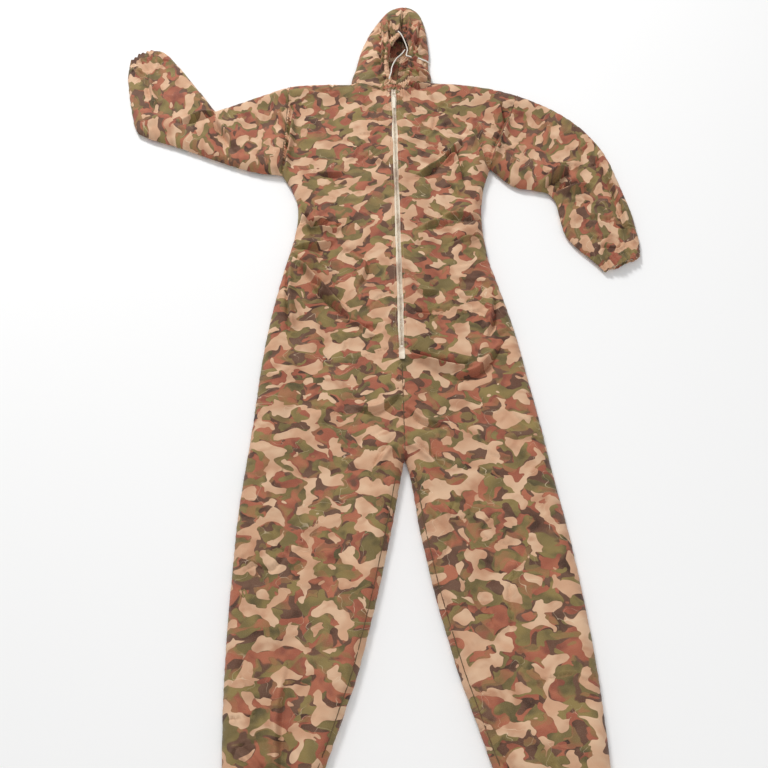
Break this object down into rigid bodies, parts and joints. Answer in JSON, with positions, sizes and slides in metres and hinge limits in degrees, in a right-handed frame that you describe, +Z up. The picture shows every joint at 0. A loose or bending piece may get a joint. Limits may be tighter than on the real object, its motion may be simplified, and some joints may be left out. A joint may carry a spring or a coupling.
{
  "type": "hooded coverall",
  "caption": "Hooded zip-front protective coverall in soft camouflage cloth, lying flat on its back, with drawcord hood and elastic cuffs, waist and ankles.",
  "frame": {"origin": "on the floor under the centre back at the waist, on the line of the front zip; the coverall lies on its back", "axes": "+Y along the body towards the head, +Z up out of the front, +X towards the wearer's left"},
  "size_m": [1.339, 2.1606, 0.0503],
  "materials": {
    "printed_cloth": "matt printed nonwoven, soft camouflage in sand, rust, olive and brown",
    "seam_allowance": "matt, inside of the printed cloth",
    "elastic": "matt ribbed",
    "zip_tape": "matt woven tape",
    "zip_coil": "satin",
    "zip_slider": "satin cream enamel",
    "cord": "matt twisted yarn"
  },
  "bodies": {
    "torso": {"body_right": "printed_cloth", "body_left": "printed_cloth", "inseam_thigh_right": "seam_allowance", "inseam_thigh_left": "seam_allowance", "armhole_seam_right": "seam_allowance", "armhole_seam_left": "seam_allowance", "centre_back_seam": "seam_allowance", "centre_front_seam": "seam_allowance", "waist_elastic": "elastic", "neck_seam": "seam_allowance", "zip_tape_right": "zip_tape", "zip_tape_left": "zip_tape", "zip_coil_right": "zip_coil", "zip_coil_left": "zip_coil", "zip_top_stop_right": "zip_coil", "zip_top_stop_left": "zip_coil", "zip_bottom_stop": "zip_coil", "zip_end_patch": "zip_tape"},
    "hood": {"hood_right": "printed_cloth", "hood_left": "printed_cloth", "hood_centre_seam": "seam_allowance", "face_hem": "printed_cloth", "drawcord": "cord", "cord_tail_right": "cord", "cord_tail_left": "cord", "cord_bight": "cord"},
    "sleeve_right": {"sleeve_right": "printed_cloth", "cuff_hem_right": "printed_cloth", "cuff_elastic_right": "elastic"},
    "sleeve_left": {"sleeve_left": "printed_cloth", "cuff_hem_left": "printed_cloth", "cuff_elastic_left": "elastic"},
    "lower_leg_right": {"lower_leg_right": "printed_cloth", "ankle_hem_right": "printed_cloth", "ankle_elastic_right": "elastic", "inseam_shin_right": "seam_allowance"},
    "lower_leg_left": {"lower_leg_left": "printed_cloth", "ankle_hem_left": "printed_cloth", "ankle_elastic_left": "elastic", "inseam_shin_left": "seam_allowance"},
    "slider": {"zip_slider": "zip_slider"},
    "pull_tab": {"pull_tab": "zip_slider"}
  },
  "joints": [
    {"name": "hood_fold", "type": "hinge", "parent": "torso", "child": "hood", "pos_m": [0, 0.415, 0.054], "axis": [1, 0, 0], "range_deg": [0, 170]},
    {"name": "sleeve_fold_right", "type": "hinge", "parent": "torso", "child": "sleeve_right", "pos_m": [-0.287, 0.274, 0.048], "axis": [0.0397, 0.9992, 0], "range_deg": [0, 120]},
    {"name": "sleeve_fold_left", "type": "hinge", "parent": "torso", "child": "sleeve_left", "pos_m": [0.2945, 0.259, 0.048], "axis": [-0.3528, -0.9357, 0], "range_deg": [0, 120]},
    {"name": "leg_fold_right", "type": "hinge", "parent": "torso", "child": "lower_leg_right", "pos_m": [-0.22, -1.035, 0.048], "axis": [-0.9907, 0.1357, 0], "range_deg": [0, 165]},
    {"name": "leg_fold_left", "type": "hinge", "parent": "torso", "child": "lower_leg_left", "pos_m": [0.22, -1.035, 0.048], "axis": [-0.9907, -0.1357, 0], "range_deg": [0, 165]},
    {"name": "zip_slide", "type": "slide", "parent": "torso", "child": "slider", "axis": [0, -1, 0], "range_m": [0, 0.74]},
    {"name": "pull_tab_tilt", "type": "hinge", "parent": "slider", "child": "pull_tab", "pos_m": [0, 0.356, 0.0484], "axis": [-1, 0, 0], "range_deg": [0, 160]}
  ]
}
